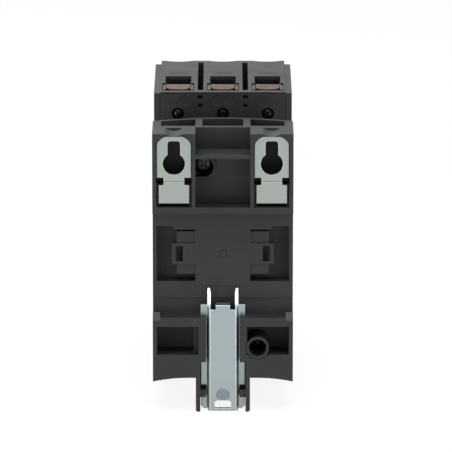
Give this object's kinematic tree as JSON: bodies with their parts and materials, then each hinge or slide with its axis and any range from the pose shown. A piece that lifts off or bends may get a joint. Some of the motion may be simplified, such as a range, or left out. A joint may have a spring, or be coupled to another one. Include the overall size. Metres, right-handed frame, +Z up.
{
  "type": "contactor",
  "caption": "Three-pole power contactor with box clamp terminals, a rail and keyhole mounting base at the back and a stepped front cover with position indicator.",
  "frame": {"origin": "centre of the rail seat, on the line of the rail", "axes": "+Y out of the back towards the rail, +Z up, +X to the right when seen from the front"},
  "size_m": [0.055, 0.12, 0.12],
  "materials": {
    "housing_plastic": "moulded, fine matt",
    "panel_plastic": "moulded, fine matt",
    "cover_plastic": "moulded, fine matt",
    "bobbin_plastic": "moulded",
    "carrier_plastic": "moulded",
    "indicator_plastic": "moulded",
    "zinc_steel": "zinc plated, satin",
    "screw_steel": "zinc plated",
    "spring_steel": "drawn wire",
    "core_steel": "ground laminations",
    "copper": "stamped copper",
    "winding_copper": "enamelled wire",
    "brass": "stamped",
    "rubber": "moulded"
  },
  "bodies": {
    "housing": {"rear_base": "housing_plastic", "pole_housing": "housing_plastic", "front_cover": "cover_plastic", "upper_back_panel": "panel_plastic", "lower_back_panel": "panel_plastic", "mounting_plate_left": "zinc_steel", "mounting_plate_right": "zinc_steel", "housing_screws": "screw_steel", "upper_panel_screws": "screw_steel", "lower_panel_screws": "screw_steel", "clip_spring": "spring_steel", "return_springs": "spring_steel", "fixed_core": "core_steel", "shading_rings": "copper", "coil_winding": "winding_copper", "coil_bobbin": "bobbin_plastic", "core_cushion": "rubber", "arc_splitters": "zinc_steel", "coil_terminals": "brass", "line_bar_1": "copper", "line_cage_1": "zinc_steel", "load_bar_1": "copper", "load_cage_1": "zinc_steel", "line_bar_2": "copper", "line_cage_2": "zinc_steel", "load_bar_2": "copper", "load_cage_2": "zinc_steel", "line_bar_3": "copper", "line_cage_3": "zinc_steel", "load_bar_3": "copper", "load_cage_3": "zinc_steel"},
    "clip": {"rail_clip": "zinc_steel"},
    "carrier": {"contact_carrier": "carrier_plastic", "armature": "core_steel", "armature_pin": "screw_steel", "position_indicator": "indicator_plastic", "contact_spring_1": "spring_steel", "contact_spring_2": "spring_steel", "contact_spring_3": "spring_steel"},
    "bridge_1": {"contact_bridge_1": "copper"},
    "bridge_2": {"contact_bridge_2": "copper"},
    "bridge_3": {"contact_bridge_3": "copper"},
    "line_clamp_1": {"line_pad_1": "zinc_steel"},
    "line_screw_body_1": {"line_screw_1": "screw_steel"},
    "line_clamp_2": {"line_pad_2": "zinc_steel"},
    "line_screw_body_2": {"line_screw_2": "screw_steel"},
    "line_clamp_3": {"line_pad_3": "zinc_steel"},
    "line_screw_body_3": {"line_screw_3": "screw_steel"},
    "load_clamp_1": {"load_pad_1": "zinc_steel"},
    "load_screw_body_1": {"load_screw_1": "screw_steel"},
    "load_clamp_2": {"load_pad_2": "zinc_steel"},
    "load_screw_body_2": {"load_screw_2": "screw_steel"},
    "load_clamp_3": {"load_pad_3": "zinc_steel"},
    "load_screw_body_3": {"load_screw_3": "screw_steel"},
    "coil_washer_left": {"coil_clamp_left": "zinc_steel"},
    "coil_screw_body_left": {"coil_screw_left": "screw_steel"},
    "coil_washer_right": {"coil_clamp_right": "zinc_steel"},
    "coil_screw_body_right": {"coil_screw_right": "screw_steel"}
  },
  "joints": [
    {"name": "rail_clip_slide", "type": "slide", "parent": "housing", "child": "clip", "axis": [0, 0, -1], "range_m": [0, 0.0055], "stiffness_N_per_m": 900, "springref_m": -0.008, "deforming": ["clip_spring"]},
    {"name": "carrier_slide", "type": "slide", "parent": "housing", "child": "carrier", "axis": [0, 1, 0], "range_m": [0, 0.006], "stiffness_N_per_m": 700, "springref_m": -0.01, "deforming": ["return_springs"]},
    {"name": "contact_give_1", "type": "slide", "parent": "carrier", "child": "bridge_1", "axis": [0, -1, 0], "range_m": [0, 0.00205], "deforming": ["contact_spring_1"]},
    {"name": "contact_give_2", "type": "slide", "parent": "carrier", "child": "bridge_2", "axis": [0, -1, 0], "range_m": [0, 0.00205], "deforming": ["contact_spring_2"]},
    {"name": "contact_give_3", "type": "slide", "parent": "carrier", "child": "bridge_3", "axis": [0, -1, 0], "range_m": [0, 0.00205], "deforming": ["contact_spring_3"]},
    {"name": "line_clamp_slide_1", "type": "slide", "parent": "housing", "child": "line_clamp_1", "axis": [0, 1, 0], "range_m": [0, 0.0096]},
    {"name": "line_screw_turn_1", "type": "hinge", "parent": "line_clamp_1", "child": "line_screw_body_1", "pos_m": [0.0178, -0.081, 0.047], "axis": [0, 1, 0], "range_deg": [0, 3456.5]},
    {"name": "line_clamp_slide_2", "type": "slide", "parent": "housing", "child": "line_clamp_2", "axis": [0, 1, 0], "range_m": [0, 0.0096]},
    {"name": "line_screw_turn_2", "type": "hinge", "parent": "line_clamp_2", "child": "line_screw_body_2", "pos_m": [0, -0.081, 0.047], "axis": [0, 1, 0], "range_deg": [0, 3456.5]},
    {"name": "line_clamp_slide_3", "type": "slide", "parent": "housing", "child": "line_clamp_3", "axis": [0, 1, 0], "range_m": [0, 0.0096]},
    {"name": "line_screw_turn_3", "type": "hinge", "parent": "line_clamp_3", "child": "line_screw_body_3", "pos_m": [-0.0178, -0.081, 0.047], "axis": [0, 1, 0], "range_deg": [0, 3456.5]},
    {"name": "load_clamp_slide_1", "type": "slide", "parent": "housing", "child": "load_clamp_1", "axis": [0, 1, 0], "range_m": [0, 0.0096]},
    {"name": "load_screw_turn_1", "type": "hinge", "parent": "load_clamp_1", "child": "load_screw_body_1", "pos_m": [0.0178, -0.081, -0.051], "axis": [0, 1, 0], "range_deg": [0, 3456.5]},
    {"name": "load_clamp_slide_2", "type": "slide", "parent": "housing", "child": "load_clamp_2", "axis": [0, 1, 0], "range_m": [0, 0.0096]},
    {"name": "load_screw_turn_2", "type": "hinge", "parent": "load_clamp_2", "child": "load_screw_body_2", "pos_m": [0, -0.081, -0.051], "axis": [0, 1, 0], "range_deg": [0, 3456.5]},
    {"name": "load_clamp_slide_3", "type": "slide", "parent": "housing", "child": "load_clamp_3", "axis": [0, 1, 0], "range_m": [0, 0.0096]},
    {"name": "load_screw_turn_3", "type": "hinge", "parent": "load_clamp_3", "child": "load_screw_body_3", "pos_m": [-0.0178, -0.081, -0.051], "axis": [0, 1, 0], "range_deg": [0, 3456.5]},
    {"name": "coil_clamp_slide_left", "type": "slide", "parent": "housing", "child": "coil_washer_left", "axis": [0, 1, 0], "range_m": [0, 0.0023]},
    {"name": "coil_screw_turn_left", "type": "hinge", "parent": "coil_washer_left", "child": "coil_screw_body_left", "pos_m": [0.016, -0.097, 0.0244], "axis": [0, 1, 0], "range_deg": [0, 1380.5]},
    {"name": "coil_clamp_slide_right", "type": "slide", "parent": "housing", "child": "coil_washer_right", "axis": [0, 1, 0], "range_m": [0, 0.0023]},
    {"name": "coil_screw_turn_right", "type": "hinge", "parent": "coil_washer_right", "child": "coil_screw_body_right", "pos_m": [-0.016, -0.097, 0.0244], "axis": [0, 1, 0], "range_deg": [0, 1380.5]}
  ],
  "couplings": [
    {"joint": "contact_give_1", "follows": "carrier_slide", "ratio": 0.34167},
    {"joint": "contact_give_2", "follows": "carrier_slide", "ratio": 0.34167},
    {"joint": "contact_give_3", "follows": "carrier_slide", "ratio": 0.34167},
    {"joint": "line_screw_turn_1", "follows": "line_clamp_slide_1", "rad_per_m": 6283.2},
    {"joint": "line_screw_turn_2", "follows": "line_clamp_slide_2", "rad_per_m": 6283.2},
    {"joint": "line_screw_turn_3", "follows": "line_clamp_slide_3", "rad_per_m": 6283.2},
    {"joint": "load_screw_turn_1", "follows": "load_clamp_slide_1", "rad_per_m": 6283.2},
    {"joint": "load_screw_turn_2", "follows": "load_clamp_slide_2", "rad_per_m": 6283.2},
    {"joint": "load_screw_turn_3", "follows": "load_clamp_slide_3", "rad_per_m": 6283.2},
    {"joint": "coil_screw_turn_left", "follows": "coil_clamp_slide_left", "rad_per_m": 10472},
    {"joint": "coil_screw_turn_right", "follows": "coil_clamp_slide_right", "rad_per_m": 10472}
  ]
}
